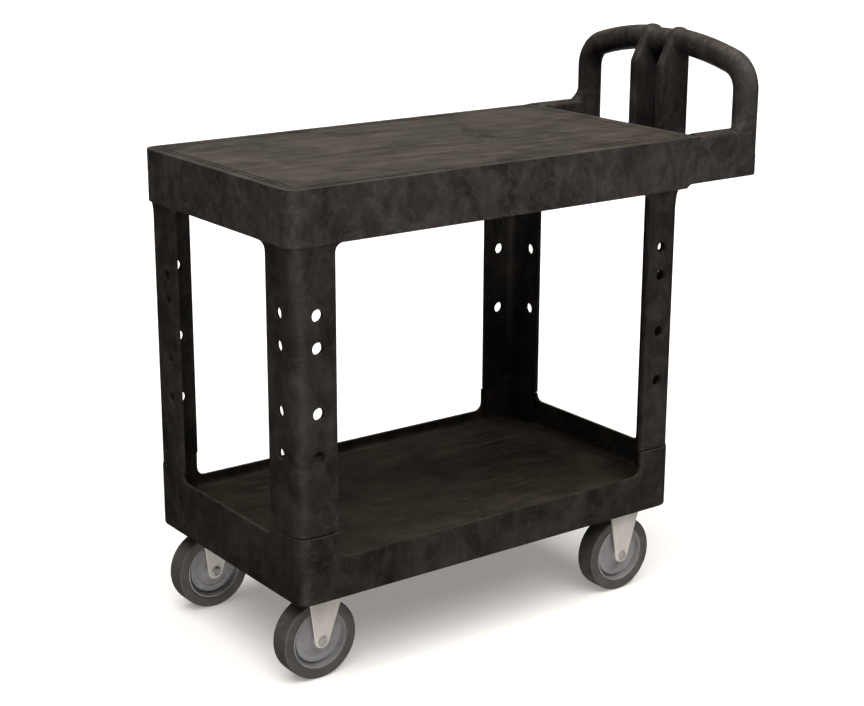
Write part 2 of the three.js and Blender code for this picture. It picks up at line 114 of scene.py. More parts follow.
TRAY_LEFT = LOWER_LOW[0]
TRAY_RIGHT = LOWER_HIGH[0]
TRAY_HALF = LOWER_HIGH[1]
TRAY_BOTTOM = LOWER_LOW[2]
POST_TOP = LOWER_HIGH[2]
TRAY_FLOOR = 187.0
TRAY_FLOOR_PLATE = 5.0
TRAY_EDGE_ROUND = 3.5
PANEL_INSET = 14.0
PANEL_RISE = 1.0
PANEL_CORNER = 10.0
TRAY_SIDE_TOP = 205.0
TRAY_END_TOP = 232.0
PAD_BOTTOM = 157.0
PAD_LENGTH = 120.0
PAD_HALF = 34.0
TRAY_RIBS_ACROSS = (-0.55, 0, 0.55)  # as shares of half the tray's length
POST_CLEARANCE = 1.5
SIDE_WINDOW_CORNER = 15
END_WINDOW_CORNER = 13

LEG_HALF = 213.0
LEG_END = 449.0
LEG_FLANGE_X = 68.0
LEG_FLANGE_Y = 77.5
LEG_WALL = 7.0
LEG_CORNER = 22.0
LEG_FILLET = 13.0
# Each end's flare is part of an ellipse: its run, its rise, and how far it ends above the leg.
LEG_FLARES = {"left": (6.5, 22.0, 0.0), "right": (24.0, 40.0, 6.0)}
SEAM = 2.0  # open joint between a leg and the post of the lower shelf
TONGUE = 5.5
TONGUE_TOP = 735.0
TONGUE_SETBACK = 12.0
HOLE_RADIUS = 9.5
# For each flange: how far the holes stand from the leg's outer corner, and their heights.
LEG_HOLES = {
    "left_front": {"side": (37, (577, 529, 432, 367)), "end": (46, (577, 529, 432, 367))},
    "left_back": {"side": (42, (565, 449, 346)), "end": (52, (566, 527, 432, 367))},
    "right_front": {"side": (38, (587, 541, 447, 364)), "end": (46, (579, 541, 447, 364))},
    "right_back": {"side": (37, (505, 396)), "end": (54, (509, 400))},
}

WHEEL_RADIUS = 63.5
WHEEL_HALF = 17.5
TYRE_SEAT = 47.0
HUB_BOSS_HALF = 18.8
PLATE_TOP = 156.7
PLATE_BOTTOM = 153.7
PLATE_HALF_LENGTH = 54.0
PLATE_HALF_WIDTH = 30.0
PLATE_HOLE_X = 44.5
PLATE_HOLE_Y = 22.0
FORK_INNER = 19.5
FORK_STEEL = 2.5
FORK_END = 12.5
RIGID_SPREAD = (-24.0, 47.0)
SWIVEL_SPREAD = (-26.0, 36.0)
CROWN_RADIUS = 29.0
CROWN_TOP = 141.0
CROWN_BOTTOM = 137.8
RIGID_TRAIL = 12.0
SWIVEL_TRAIL = 14.0
AXLE_BORE = 4.3
PLATE_BORE = 4.4
KINGPIN_BORE = 6.3
CROWN_BORE = 6.5
KINGPIN_SINK = 10.3
AXLE_HEAD_FLATS = 12
NUT_FLATS = 13
PLATE_BOLT_FLATS = 13
GAP = 0.3

SMOOTH_BELOW = 38  # degrees between faces that are shaded as one surface

# The studio, in metres and degrees
FLOOR_HALF = 30.0
DOME_RADIUS = 28.0
CAMERA_AZIMUTH = -36.30
CAMERA_ELEVATION = 16.47
CAMERA_ROLL = 0.217
CAMERA_DISTANCE = 2.929
CAMERA_AIM = (-0.057, 0.0, 0.411)
CAMERA_LENS = 75.08  # millimetres, on a sensor 36 wide
CAMERA_SENSOR = 36.0


# ---------------------------------------------------------------------------------------------
# Mesh building
# ---------------------------------------------------------------------------------------------


def new_object(name, mesh):
    piece = bpy.data.objects.new(name, mesh)
    bpy.context.scene.collection.objects.link(piece)
    return piece


def from_bmesh(name, bm):
    bmesh.ops.remove_doubles(bm, verts=bm.verts, dist=1e-7)
    bmesh.ops.recalc_face_normals(bm, faces=bm.faces)
    mesh = bpy.data.meshes.new(name)
    bm.to_mesh(mesh)
    bm.free()
    return new_object(name, mesh)


def arc(cx, cy, radius, start, end, steps):
    """Points on an arc from start to end, in degrees, both ends included."""
    points = []
    for i in range(steps + 1):
        angle = math.radians(start + (end - start) * i / steps)
        points.append((cx + radius * math.cos(angle), cy + radius * math.sin(angle)))
    return points


def rounded_rect(u0, u1, v0, v1, radii, steps):
    """Anticlockwise outline, one radius or four: low-low, high-low, high-high, low-high."""
    a, b, c, d = radii if isinstance(radii, (tuple, list)) else (radii,) * 4
    points = arc(u0 + a, v0 + a, a, 180, 270, steps)
    points += arc(u1 - b, v0 + b, b, 270, 360, steps)
    points += arc(u1 - c, v1 - c, c, 0, 90, steps)
    points += arc(u0 + d, v1 - d, d, 90, 180, steps)
    return points


def eased(value):
    """The value held between 0 and 1, with a smooth start and end."""
    share = min(max(value, 0.0), 1.0)
    return share * share * (3 - 2 * share)


def along(axis, u, v, w):
    """A point from outline coordinates (u, v) and place w on the axis, in metres."""
    if axis == "Z":
        return Vector((mm(u), mm(v), mm(w)))
    if axis == "Y":
        return Vector((mm(u), mm(w), mm(v)))
    return Vector((mm(w), mm(u), mm(v)))


def loft(name, rings, axis):
    """A closed skin through rings of equal length, each (place on the axis, outline)."""
    bm = bmesh.new()
    skins = [[bm.verts.new(along(axis, u, v, w)) for u, v in outline] for w, outline in rings]
    for lower, upper in zip(skins, skins[1:]):
        for i in range(len(lower)):
            j = (i + 1) % len(lower)
            bm.faces.new((lower[i], lower[j], upper[j], upper[i]))
    bm.faces.new(list(reversed(skins[0])))
    bm.faces.new(skins[-1])
    return from_bmesh(name, bm)


def prism(outline, lo, hi, axis="Z", name="tool"):
    return loft(name, [(lo, outline), (hi, outline)], axis)


def round_bottomed(name, plan, low, high, edge):
    """A prism whose lower edge is rounded; plan gives its outline at an inset."""
    rings = []
    steps = 4
    for i in range(steps + 1):
        turn = math.radians(90 * i / steps)
        rings.append((low + edge * (1 - math.cos(turn)), plan(edge * (1 - math.sin(turn)))))
    rings.append((high, plan(0.0)))
    return loft(name, rings, "Z")


def block(x0, x1, y0, y1, z0, z1):
    return prism([(x0, y0), (x1, y0), (x1, y1), (x0, y1)], z0, z1)


def turned(name, profile, axis, centre, facets=96):
    """A ring turned about an axis through centre, from a closed (radius, place) profile."""
    bm = bmesh.new()
    rings = []
    for i in range(facets):
        angle = 2 * math.pi * i / facets
        ring = []
        for radius, place in profile:
            a, b = radius * math.cos(angle), radius * math.sin(angle)
            offset = (a, place, b) if axis == "Y" else (a, b, place)
            ring.append(bm.verts.new([mm(c + o) for c, o in zip(centre, offset)]))
        rings.append(ring)
    for i in range(facets):
        this, following = rings[i], rings[(i + 1) % facets]
        for k in range(len(profile)):
            m = (k + 1) % len(profile)
            corners = (this[k], this[m], following[m], following[k])
            bm.faces.new(corners)
    return from_bmesh(name, bm)


def cylinder(radius, lo, hi, axis, centre, facets=48):
    """centre gives the two coordinates across the axis, in the order u, v of along()."""
    u, v = centre
    outline = arc(u, v, radius, 0, 360, facets)[:-1]
    return prism(outline, lo, hi, axis)


def discard(piece):
    mesh = piece.data
    bpy.data.objects.remove(piece)
    bpy.data.meshes.remove(mesh)


def apply_modifiers(piece):
    graph = bpy.context.evaluated_depsgraph_get()
    graph.update()
    made = bpy.data.meshes.new_from_object(piece.evaluated_get(graph))
    old = piece.data
    piece.modifiers.clear()
    piece.data = made
    bpy.data.meshes.remove(old)
    return piece


def combine(base, tools, operation):
    for tool in tools:
        step = base.modifiers.new("combine", "BOOLEAN")
        step.operation = operation
        step.solver = "EXACT"
        step.object = tool
    apply_modifiers(base)
    for tool in tools:
        discard(tool)
    return base


def join(base, *tools):
    return combine(base, tools, "UNION")


def cut(base, *tools):
    return combine(base, tools, "DIFFERENCE")


def shade(piece):
    """Smooth shading that leaves flat faces flat and creases sharp."""
    piece.data.shade_smooth()
    piece.data.set_sharp_from_angle(angle=math.radians(SMOOTH_BELOW))
    step = piece.modifiers.new("normals", "WEIGHTED_NORMAL")
    step.keep_sharp = True
    return apply_modifiers(piece)


def soften(piece, width, segments):
    """Rounds every edge that isn't already part of a curve."""
    step = piece.modifiers.new("edges", "BEVEL")
    step.width = mm(width)
    step.segments = segments
    step.limit_method = "ANGLE"
    step.angle_limit = math.radians(SMOOTH_BELOW)
    step.miter_outer = "MITER_ARC"
    apply_modifiers(piece)
    return shade(piece)


def melt(piece, voxel, passes):
    """Turns overlapping solids into one skin and eases its inside and outside corners."""
    step = piece.modifiers.new("melt", "REMESH")
    step.mode = "VOXEL"
    step.voxel_size = mm(voxel)
    step.adaptivity = 0.0
    ease = piece.modifiers.new("ease", "SMOOTH")
    ease.factor = 0.5
    ease.iterations = passes
    apply_modifiers(piece)
    piece.data.shade_smooth()
    return piece


def merge(name, pieces):
    """One object holding all the pieces' faces."""
    with bpy.context.temp_override(
        active_object=pieces[0], object=pieces[0], selected_editable_objects=pieces
    ):
        bpy.ops.object.join()
    pieces[0].name = name
    return pieces[0]


def mirrored(piece, name, axis_index):
    mesh = piece.data.copy()
    scale = [1, 1, 1]
    scale[axis_index] = -1
    mesh.transform(Matrix.Diagonal((*scale, 1)))
    mesh.flip_normals()
    return new_object(name, mesh)


# ---------------------------------------------------------------------------------------------
# Materials
# ---------------------------------------------------------------------------------------------


class Surface:
    """A node material under construction."""

    def __init__(self, name, roughness, metallic=0.0):
        self.material = bpy.data.materials.new(name)
        self.material.use_nodes = True
        self.tree = self.material.node_tree
        self.tree.nodes.clear()
        self.shader = self.add("ShaderNodeBsdfPrincipled")
        self.shader.inputs["Roughness"].default_value = roughness
        self.shader.inputs["Metallic"].default_value = metallic
        output = self.add("ShaderNodeOutputMaterial")
        self.link(self.shader, "BSDF", output, "Surface")
        self.place = self.add("ShaderNodeTexCoord")

    def add(self, kind, **values):
        node = self.tree.nodes.new(kind)
        for key, value in values.items():
            setattr(node, key, value)
        return node

    def link(self, source, out, target, into):
        self.tree.links.new(source.outputs[out], target.inputs[into])

    def stretched(self, scale, turn=(0, 0, 0)):
        mapping = self.add("ShaderNodeMapping")
        mapping.inputs["Scale"].default_value = scale
        mapping.inputs["Rotation"].default_value = [math.radians(a) for a in turn]
        self.link(self.place, "Object", mapping, "Vector")
        return mapping

    def noise(self, mapping, scale, detail, roughness=0.5, distortion=0.0):
        node = self.add("ShaderNodeTexNoise")
        node.inputs["Scale"].default_value = scale
        node.inputs["Detail"].default_value = detail
        node.inputs["Roughness"].default_value = roughness
        node.inputs["Distortion"].default_value = distortion
        self.link(mapping, "Vector", node, "Vector")
        return node

    def ramp(self, source, out, stops):
        node = self.add("ShaderNodeValToRGB")
        elements = node.color_ramp.elements
        for i, (position, value) in enumerate(stops):
            element = elements[i] if i < 2 else elements.new(position)
            element.position = position
            colour = value if isinstance(value, tuple) else (value, value, value)
            element.color = (*colour, 1.0)
        self.link(source, out, node, "Fac")
        return node

    def mix(self, factor, a, b, blend="MIX"):
        """Mixes two colours, each a socket or a tuple, by a socket or a number."""
        node = self.add("ShaderNodeMix", data_type="RGBA", blend_type=blend)
        for index, value in ((0, factor), (6, a), (7, b)):
            if isinstance(value, bpy.types.NodeSocket):
                self.tree.links.new(value, node.inputs[index])
            elif index:
                node.inputs[index].default_value = (*value, 1.0)
            else:
                node.inputs[index].default_value = value
        return node.outputs[2]

    def colour(self, socket):
        self.tree.links.new(socket, self.shader.inputs["Base Color"])

    def rough(self, socket):
        self.tree.links.new(socket, self.shader.inputs["Roughness"])

    def bump(self, *layers):
        """Stacks bump layers, each (height socket, strength, distance in metres)."""
        previous = None
        for height, strength, distance in layers:
            node = self.add("ShaderNodeBump")
            node.inputs["Strength"].default_value = strength
            node.inputs["Distance"].default_value = distance
            self.tree.links.new(height, node.inputs["Height"])
            if previous:
                self.tree.links.new(previous.outputs["Normal"], node.inputs["Normal"])
            previous = node
        self.tree.links.new(previous.outputs["Normal"], self.shader.inputs["Normal"])


def tint(colour, painted_shade_tint):
    """A colour, or a grey level, scaled channel by channel."""
    channels = colour if isinstance(colour, tuple) else (colour, colour, colour)
    return tuple(channel * part for channel, part in zip(channels, painted_shade_tint))


def moulded_plastic(name, painted_shade_tint):
    """Charcoal structural foam: cloudy, streaked along its length on top, smudged on its sides.
    The last argument darkens a copy as painted shade, for parts that stand lower in less light, and
    shifts its hue a little."""
    s = Surface(name, 0.55)
    s.shader.inputs["Specular IOR Level"].default_value = 0.12
    plain = s.stretched((1, 1, 1))
    cloud = s.noise(plain, 9.0, 7.0, 0.66, 0.7)
    curl = s.noise(plain, 21.0, 8.0, 0.7, 1.5)
    fleck = s.noise(s.stretched((1, 1, 1), (0, 0, 35)), 55.0, 4.0, 0.6, 1.6)
    brushed = s.noise(s.stretched((6, 75, 75), (0, 0, 5)), 1.5, 7.0, 0.68, 0.5)
    smudge = s.noise(s.stretched((20, 20, 9), (0, 14, 0)), 1.0, 7.0, 0.68, 1.4)
    grain = s.noise(plain, 900.0, 3.0, 0.6)

    # Tops are painted lighter than the sides, as painted light from above; the streaks on top and the
    # smudges on the sides are the plastic's own pattern.
    top = s.ramp(brushed, "Fac", [(0.32, (0.023, 0.0192, 0.0149)), (0.68, (0.083, 0.0692, 0.0545))])
    side = s.ramp(smudge, "Fac", [(0.3, (0.0145, 0.012, 0.0112)), (0.7, (0.056, 0.0472, 0.0435))])
    parts = s.add("ShaderNodeSeparateXYZ")
    s.link(s.place, "Normal", parts, "Vector")
    lit_top_mask = s.ramp(parts, "Z", [(0.45, 0.0), (0.8, 1.0)])
    base = s.mix(lit_top_mask.outputs["Color"], side.outputs["Color"], top.outputs["Color"])
    clouded = s.ramp(cloud, "Fac", [(0.32, tint(0.55, painted_shade_tint)), (0.68, tint(1.42, painted_shade_tint))])
    tone = s.mix(1.0, base, clouded.outputs["Color"], "MULTIPLY")
    curl_mask = s.ramp(curl, "Fac", [(0.5, 0.0), (0.6, 0.36), (0.68, 0.04)])
    tone = s.mix(curl_mask.outputs["Color"], tone, tint((0.084, 0.071, 0.062), painted_shade_tint))
    fleck_mask = s.ramp(fleck, "Fac", [(0.58, 0.0), (0.7, 0.32)])
    s.colour(s.mix(fleck_mask.outputs["Color"], tone, tint((0.096, 0.081, 0.07), painted_shade_tint)))
    finish = s.ramp(brushed, "Fac", [(0.3, 0.44), (0.7, 0.64)])
    s.rough(finish.outputs["Color"])
    s.bump((grain.outputs["Fac"], 0.35, mm(0.12)), (cloud.outputs["Fac"], 0.25, mm(0.8)))
    return s.material


def tyre_rubber():
    s = Surface("grey_tyre_rubber", 0.72)
    plain = s.stretched((1, 1, 1))
    dust = s.noise(plain, 60.0, 5.0, 0.6)
    grain = s.noise(plain, 1400.0, 2.0)
    tone = s.ramp(dust, "Fac", [(0.35, (0.056, 0.05, 0.044)), (0.7, (0.09, 0.08, 0.07))])
    s.colour(tone.outputs["Color"])
    finish = s.ramp(dust, "Fac", [(0.3, 0.62), (0.7, 0.8)])
    s.rough(finish.outputs["Color"])
    s.bump((grain.outputs["Fac"], 0.3, mm(0.08)))
    return s.material


def hub_plastic():
    s = Surface("grey_hub_plastic", 0.42)
    plain = s.stretched((1, 1, 1))
    cloud = s.noise(plain, 40.0, 4.0, 0.6, 0.8)
    grain = s.noise(plain, 1100.0, 2.0)
    tone = s.ramp(cloud, "Fac", [(0.3, (0.212, 0.204, 0.199)), (0.7, (0.292, 0.281, 0.275))])
    s.colour(tone.outputs["Color"])
    finish = s.ramp(cloud, "Fac", [(0.3, 0.36), (0.7, 0.5)])
    s.rough(finish.outputs["Color"])
    s.bump((grain.outputs["Fac"], 0.2, mm(0.05)))
    return s.material


def zinc_steel(name, tone_low, tone_high, roughness):
    """Zinc-plated pressed steel: satin, with faint spangle and rolling marks."""
    s = Surface(name, roughness, 0.25)
    plain = s.stretched((1, 1, 1))
    spangle = s.add("ShaderNodeTexVoronoi")
    spangle.inputs["Scale"].default_value = 260.0
    s.link(plain, "Vector", spangle, "Vector")
    rolled = s.noise(s.stretched((40, 400, 14)), 1.0, 4.0, 0.6)
    tone = s.ramp(rolled, "Fac", [(0.3, tone_low), (0.72, tone_high)])
    crystal = s.ramp(spangle, "Color", [(0.0, 0.92), (1.0, 1.0)])
    s.colour(s.mix(1.0, tone.outputs["Color"], crystal.outputs["Color"], "MULTIPLY"))
    finish = s.ramp(rolled, "Fac", [(0.3, roughness - 0.07), (0.7, roughness + 0.1)])
    s.rough(finish.outputs["Color"])
    s.bump((rolled.outputs["Fac"], 0.12, mm(0.06)))
    return s.material


shelf_plastic = moulded_plastic("upper_shelf_plastic", (1.0, 1.0, 1.0))
# The legs and the lower shelf are darker copies of the same plastic: the darkening is painted shade,
# and the hue is shifted a little.
leg_plastic = moulded_plastic("leg_plastic", (0.62, 0.61, 0.56))
tray_plastic = moulded_plastic("lower_shelf_plastic", (0.58, 0.56, 0.49))
rubber = tyre_rubber()
hub_grey = hub_plastic()
zinc = zinc_steel("zinc_plated_pressing", (0.72, 0.655, 0.59), (0.86, 0.795, 0.72), 0.42)
fastener = zinc_steel("zinc_plated_fastener", (0.4, 0.372, 0.338), (0.55, 0.52, 0.48), 0.3)


def dress(piece, material, body, slot, *stands_for):
    piece.data.materials.clear()
    piece.data.materials.append(material)
    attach(piece, body)
    if stands_for:
        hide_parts(*stands_for)
    return piece


# ---------------------------------------------------------------------------------------------
# Upper shelf
# ---------------------------------------------------------------------------------------------


def groove_cutter(inset):
    """A thin ring standing on the deck, to press a groove round it at that inset."""
    rings = []
    for edge in (inset, inset + GROOVE_WIDTH):
        radius = max(CORNER - edge, 7.0)
        outline = rounded_rect(
            DECK_LEFT + edge, DECK_RIGHT - edge, edge - DECK_HALF, DECK_HALF - edge, radius, 10
        )
        rings.append(prism(outline, DECK_TOP - GROOVE_DEPTH, DECK_TOP + 5))
    return cut(rings[0], rings[1])


def deck_shell():
    """Deck, skirt and bin with their walls, before the rails and ribs are added."""
    inner = DECK_HALF - WALL
    square = (CORNER, 1, 1, CORNER)
    plan = rounded_rect(DECK_LEFT, DECK_RIGHT, -DECK_HALF, DECK_HALF, square, 10)
    shell = prism(plan, BIN_BOTTOM, DECK_TOP, name="deck")
    lower = rounded_rect(DECK_LEFT, SKIRT_RIGHT, -DECK_HALF, DECK_HALF, square, 10)
    bin_corners = (1, BIN_CORNER, BIN_CORNER, 1)
    bin_plan = rounded_rect(DECK_RIGHT - 10, BIN_RIGHT, -DECK_HALF, DECK_HALF, bin_corners, 8)
    join(shell, prism(lower, SKIRT_BOTTOM, BIN_BOTTOM + 1), prism(bin_plan, BIN_BOTTOM, BIN_END_TOP))
    hollow = rounded_rect(DECK_LEFT + WALL, DECK_RIGHT - WALL, -inner, inner, CORNER - WALL, 10)
    well = DECK_HALF - RAIL_WIDTH
    well_plan = rounded_rect(DECK_RIGHT, BIN_RIGHT - WALL, -well, well, 6, 6)
    cut(
        shell,
        prism(hollow, SKIRT_BOTTOM - 5, DECK_TOP - DECK_PLATE),
        prism(well_plan, BIN_FLOOR, DECK_TOP),
    )
    return soften(shell, RIM_ROUND, 4)


def skirt_ramp(side):
    """Where the skirt's lower edge curves up to the bin, in line with the flare of the leg."""
    run, rise, beyond = LEG_FLARES["right"]
    right = LEG_END + TRAY_LEFT + TRAY_RIGHT + run
    low = SKIRT_BOTTOM
    start = math.degrees(math.asin((rise - beyond) / rise))
    curve = arc(0, 0, 1.0, start, 90, 8)
    outline = [(right - run * c, BIN_BOTTOM - rise + rise * v) for c, v in curve]
    outline += [(right, BIN_BOTTOM + 2), (SKIRT_RIGHT - 6, BIN_BOTTOM + 2), (SKIRT_RIGHT - 6, low)]
    y0, y1 = sorted((side * (DECK_HALF - WALL), side * (DECK_HALF - 0.6)))
    return prism(outline, y0, y1, "Y")


def deck_ribs():
    inner = DECK_HALF - WALL
    z1 = DECK_TOP - DECK_PLATE + 1
    z0 = z1 - RIB_DEPTH - 1
    ends = (DECK_LEFT + WALL - 1, DECK_RIGHT - WALL + 1)
    ribs = []
    for x in DECK_RIBS_ACROSS:
        ribs.append(block(x - RIB_HALF, x + RIB_HALF, -inner - 1, inner + 1, z0, z1))
    for y in DECK_RIBS_ALONG:
        ribs.append(block(*ends, y - RIB_HALF, y + RIB_HALF, z0, z1))
    return ribs


def side_rail():
    """The rail as a row of cross-sections along x: it grows out of the deck's rim to full size."""
    steps = 14
    rings = []
    for i in range(steps + 1):
        share = i / steps
        x = RAIL_START + (DECK_RIGHT - 2 - RAIL_START) * share
        rings.append(rail_section(x, RAIL_NARROW, rail_growth(x)))
    for x in (DECK_RIGHT - 1, RAIL_FULL, HANDLE_X):
        rings.append(rail_section(x, RAIL_WIDTH, rail_growth(x)))
    return loft("rail", rings, "X")


def rail_growth(x):
    return eased((x - RAIL_START) / (RAIL_FULL - RAIL_START))


def rail_section(x, width, growth):
    top = DECK_TOP - 0.4 + (RAIL_TOP - DECK_TOP + 0.4) * growth
    inner = DECK_HALF - width
    crown = RIM_ROUND + (min(RAIL_ROUND, width / 2 - 0.5) - RIM_ROUND) * growth
    outline = [(inner, BIN_BOTTOM + 3), (DECK_HALF, BIN_BOTTOM + 3)]
    outline += arc(DECK_HALF - crown, top - crown, crown, 0, 90, 10)
    outline += arc(inner + crown, top - crown, crown, 90, 180, 10)
    return x, outline


def handle_path():
    """The tube's centre line across the trolley, as (y, z): upright, bend and shallow crown."""
    arch_z = HANDLE_TOP - TUBE - 0.1
    bend_y = HANDLE_Y - BEND_RADIUS
    reach = ARCH_RADIUS - BEND_RADIUS
    turn = math.degrees(math.acos(bend_y / reach))
    bend_z = arch_z - ARCH_RADIUS + reach * math.sin(math.radians(turn))
    half = [(HANDLE_Y, z) for z in (BIN_BOTTOM + 22, RAIL_TOP, (RAIL_TOP + bend_z) / 2)]
    half += arc(bend_y, bend_z, BEND_RADIUS, 0, turn, 14)
    half += arc(0, arch_z - ARCH_RADIUS, ARCH_RADIUS, turn, 90, 30)[1:]
    return [Vector(p) for p in half + [(-y, z) for y, z in reversed(half[:-1])]]


def half_height(y, above):
    """The tube's reach above or below its path: between the fins it is lower and deeper."""
    into_fin = 5
    run = 8
    change = (WAIST if above else BELLY) - TUBE
    return TUBE + change * eased((FIN_INNER + into_fin - abs(y)) / run)


def handle_tube():
    path = handle_path()
    facets = 40
    bm = bmesh.new()
    rings = []
    for i, point in enumerate(path):
        ahead = path[min(i + 1, len(path) - 1)] - path[max(i - 1, 0)]
        ahead.normalize()
        down = Vector((-ahead.y, ahead.x))
        ring = []
        for k in range(facets):
            angle = 2 * math.pi * k / facets
            sink = math.cos(angle)
            y, z = point + down * (half_height(point.x, sink < 0) * sink)
            ring.append(bm.verts.new((mm(HANDLE_X + TUBE * math.sin(angle)), mm(y), mm(z))))
        rings.append(ring)
    for a, b in zip(rings, rings[1:]):
        for k in range(facets):
            m = (k + 1) % facets
            bm.faces.new((a[k], a[m], b[m], b[k]))
    bm.faces.new(rings[0])
    bm.faces.new(list(reversed(rings[-1])))
    return from_bmesh("tube", bm)


def fin_outline():
    """Upright towards the deck, then sloping up to the arc that wraps over the tube."""
    z = HANDLE_TOP - TUBE
    radius = TUBE + FIN_PROUD
    right = HANDLE_X + TUBE - 1
    run = math.hypot(HANDLE_X - FIN_LEFT, z - FIN_SHOULDER)
    slope = math.atan2(z - FIN_SHOULDER, HANDLE_X - FIN_LEFT) + math.asin(radius / run)
    outline = [(FIN_LEFT, BIN_BOTTOM + 2), (right, BIN_BOTTOM + 2), (right, z)]
    outline += arc(HANDLE_X, z, radius, 20, math.degrees(slope) + 90, 16)
    outline.append((FIN_LEFT, FIN_SHOULDER))
    return outline


def handle_fin(side):
    y0, y1 = sorted((side * FIN_INNER, side * FIN_OUTER))
    fin = prism(fin_outline(), y0, y1, "Y", "fin")
    return soften(fin, FIN_EDGE_ROUND, 4)


def upright_foot(side):
    """Where an upright grows out of its rail: squared off outside and flared towards the deck."""
    height = 24.0
    flare = 13.0
    squareness = 0.8
    blend = 0.45  # share of the reach over which the flare fades away from the rail
    steps = 8
    facets = 64
    rings = []
    for i in range(steps + 1):
        share = i / steps
        grow = (1 - share) ** 2
        ring = []
        for k in range(facets):
            angle = 2 * math.pi * k / facets
            c, v = math.cos(angle), math.sin(angle)
            behind = max(-c, 0.0)
            square = 1 / max(abs(c), abs(v)) if v > 0 and c < 0 else 1.0
            reach = (TUBE - 0.4) * (1 + squareness * grow * (square - 1))
            over_rail = min(max((v + blend) / blend, 0.0), 1.0)
            x = HANDLE_X + reach * c - flare * grow * behind * over_rail
            ring.append((x, side * (HANDLE_Y + reach * v)))
        rings.append((RAIL_TOP - 2 + height * share, ring))
    rings.insert(0, (RAIL_TOP - 8, rings[0][1]))
    return loft("foot", rings, "Z")


def handle():
    """Tube, fins and feet as one blended moulding, standing in the rails and the bin."""
    pieces = [handle_tube()]
    for side in (-1, 1):
        pieces += [handle_fin(side), upright_foot(side)]
    return melt(merge("handle", pieces), 1.5, 4)


def mirror_and_drop(piece):
    other = mirrored(piece, piece.name, 1)
    discard(piece)
    return other


def upper_shelf():
    body = deck_shell()
    ramps = [skirt_ramp(side) for side in (-1, 1)]
    join(body, side_rail(), mirror_and_drop(side_rail()), *ramps, *deck_ribs())
    cut(body, *[groove_cutter(inset) for inset in GROOVE_INSETS])
    shade(body)
    shelf = merge("upper_shelf_moulding", [body, handle()])
    return dress(shelf, shelf_plastic, "frame", "black_plastic", "upper_shelf")


# ---------------------------------------------------------------------------------------------
# Lower shelf
# ---------------------------------------------------------------------------------------------


def basin():
    """What is scooped out above the tray's floor, round where the floor meets the walls."""
    fillet = 9.0
    inner = TRAY_HALF - WALL
    radius = CORNER - WALL
    low = TRAY_FLOOR - PANEL_RISE
    rings = []
    steps = 6
    for i in range(steps + 1):
        turn = math.radians(90 * i / steps)
        inset = fillet * (1 - math.sin(turn))
        outline = rounded_rect(
            TRAY_LEFT + WALL + inset,
            TRAY_RIGHT - WALL - inset,
            inset - inner,
            inner - inset,
            max(radius - inset, 6),
            10,
        )
        rings.append((low + fillet * (1 - math.cos(turn)), outline))
    rings.append((POST_TOP + 10, rings[-1][1]))
    return loft("basin", rings, "Z")


def floor_panel():
    """The slightly raised panel that the goods stand on."""
    inset = WALL + PANEL_INSET
    outline = rounded_rect(
        TRAY_LEFT + inset, TRAY_RIGHT - inset, inset - TRAY_HALF, TRAY_HALF - inset, PANEL_CORNER, 8
    )
    panel = prism(outline, TRAY_FLOOR - PANEL_RISE - 2, TRAY_FLOOR, name="panel")
    return soften(panel, 0.8, 3)


def tray_plan(inset):
    return rounded_rect(
        TRAY_LEFT + inset, TRAY_RIGHT - inset, inset - TRAY_HALF, TRAY_HALF - inset, CORNER - inset, 10
    )


def tray_shell():
    inner = TRAY_HALF - WALL
    shell = round_bottomed("tray", tray_plan, TRAY_BOTTOM, POST_TOP, TRAY_EDGE_ROUND)
    under = rounded_rect(TRAY_LEFT + WALL, TRAY_RIGHT - WALL, -inner, inner, CORNER - WALL, 10)
    post = LEG_FLANGE_X + POST_CLEARANCE
    window = (TRAY_LEFT + post, TRAY_RIGHT - post, TRAY_SIDE_TOP, POST_TOP + 60)
    reach = LEG_HALF - LEG_FLANGE_Y
    end_window = rounded_rect(-reach, reach, TRAY_END_TOP, POST_TOP + 60, END_WINDOW_CORNER, 8)
    cut(
        shell,
        basin(),
        prism(under, TRAY_BOTTOM - 5, TRAY_FLOOR - TRAY_FLOOR_PLATE),
        prism(rounded_rect(*window, SIDE_WINDOW_CORNER, 8), -TRAY_HALF - 5, TRAY_HALF + 5, "Y"),
        prism(end_window, TRAY_LEFT - 5, TRAY_RIGHT + 5, "X"),
    )
    return soften(shell, 1.1, 3)


def tray_ribs():
    inner = TRAY_HALF - WALL
    z1 = TRAY_FLOOR - TRAY_FLOOR_PLATE + 1
    z0 = z1 - RIB_DEPTH - 1
    mid = (TRAY_LEFT + TRAY_RIGHT) / 2
    spread = (TRAY_RIGHT - TRAY_LEFT) / 2
    ribs = []
    for share in TRAY_RIBS_ACROSS:
        x = mid + share * spread
        ribs.append(block(x - RIB_HALF, x + RIB_HALF, -inner - 1, inner + 1, z0, z1))
    ribs.append(block(TRAY_LEFT + WALL - 1, TRAY_RIGHT - WALL + 1, -RIB_HALF, RIB_HALF, z0, z1))
    for x, y in caster_places().values():
        reach = PAD_LENGTH / 2
        ribs.append(block(x - reach, x + reach, y - PAD_HALF, y + PAD_HALF, PAD_BOTTOM, z1))
    return ribs


def lower_shelf():
    body = join(tray_shell(), floor_panel(), *tray_ribs())
    shade(body)
    body.name = "lower_shelf_moulding"
    return dress(body, tray_plastic, "frame", "black_plastic", "lower_shelf")


def caster_places():
    """Middle of each caster's plate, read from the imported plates."""
    places = {}
    for name in ("left_front", "left_back", "right_front", "right_back"):
        node = f"rigid_bracket_{name}" if name.startswith("left") else f"swivel_plate_{name}"
        low, high = box_mm(node)
        places[name] = ((low[0] + high[0]) / 2, (low[1] + high[1]) / 2)
    return places


# ---------------------------------------------------------------------------------------------
# Legs
# ---------------------------------------------------------------------------------------------


